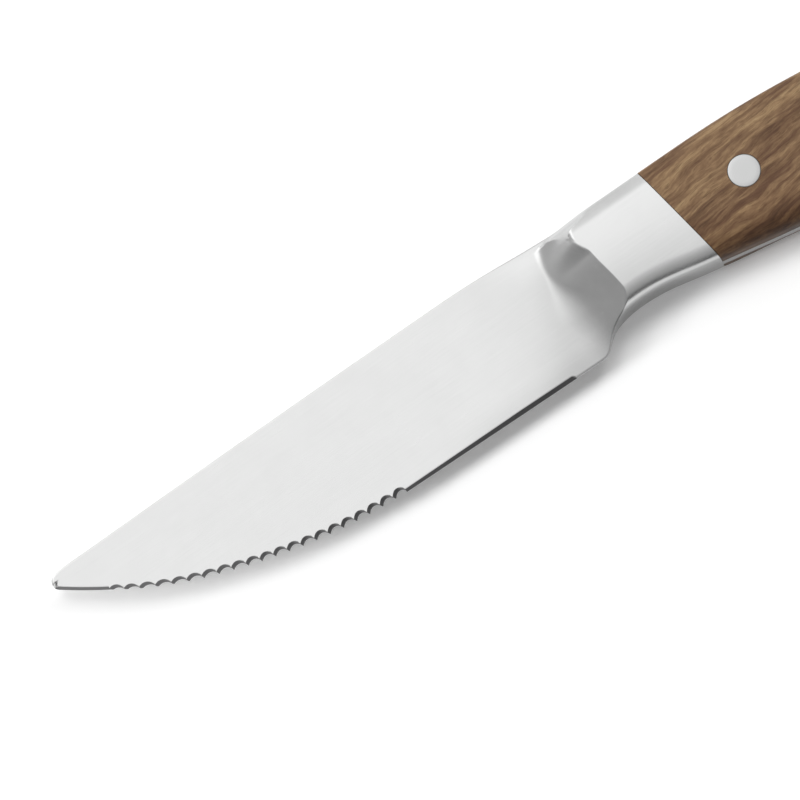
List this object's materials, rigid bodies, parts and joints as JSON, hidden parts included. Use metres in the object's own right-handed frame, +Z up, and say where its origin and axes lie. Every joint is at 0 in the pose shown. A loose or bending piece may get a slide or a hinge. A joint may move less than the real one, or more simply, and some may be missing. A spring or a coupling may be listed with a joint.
{
  "type": "steak knife",
  "caption": "Forged steak knife with a scalloped blade, a scooped bolster, a full tang and riveted brown wooden scales, lying on its side.",
  "frame": {"origin": "centre of the bottom of the bounding box, on the surface the knife lies on", "axes": "+X from the tip of the blade to the butt of the handle, +Y from the cutting edge to the spine, +Z up through the thickness of the handle"},
  "size_m": [0.247, 0.0358, 0.014],
  "materials": {
    "blade_steel": "satin",
    "scale_wood": "satin",
    "rivet_steel": "satin"
  },
  "bodies": {
    "root": {"forged_blade": "blade_steel", "near_scale": "scale_wood", "far_scale": "scale_wood", "front_rivet_tube": "rivet_steel", "middle_rivet_tube": "rivet_steel", "rear_rivet_tube": "rivet_steel", "front_rivet_post": "rivet_steel", "middle_rivet_post": "rivet_steel", "rear_rivet_post": "rivet_steel"}
  },
  "joints": []
}
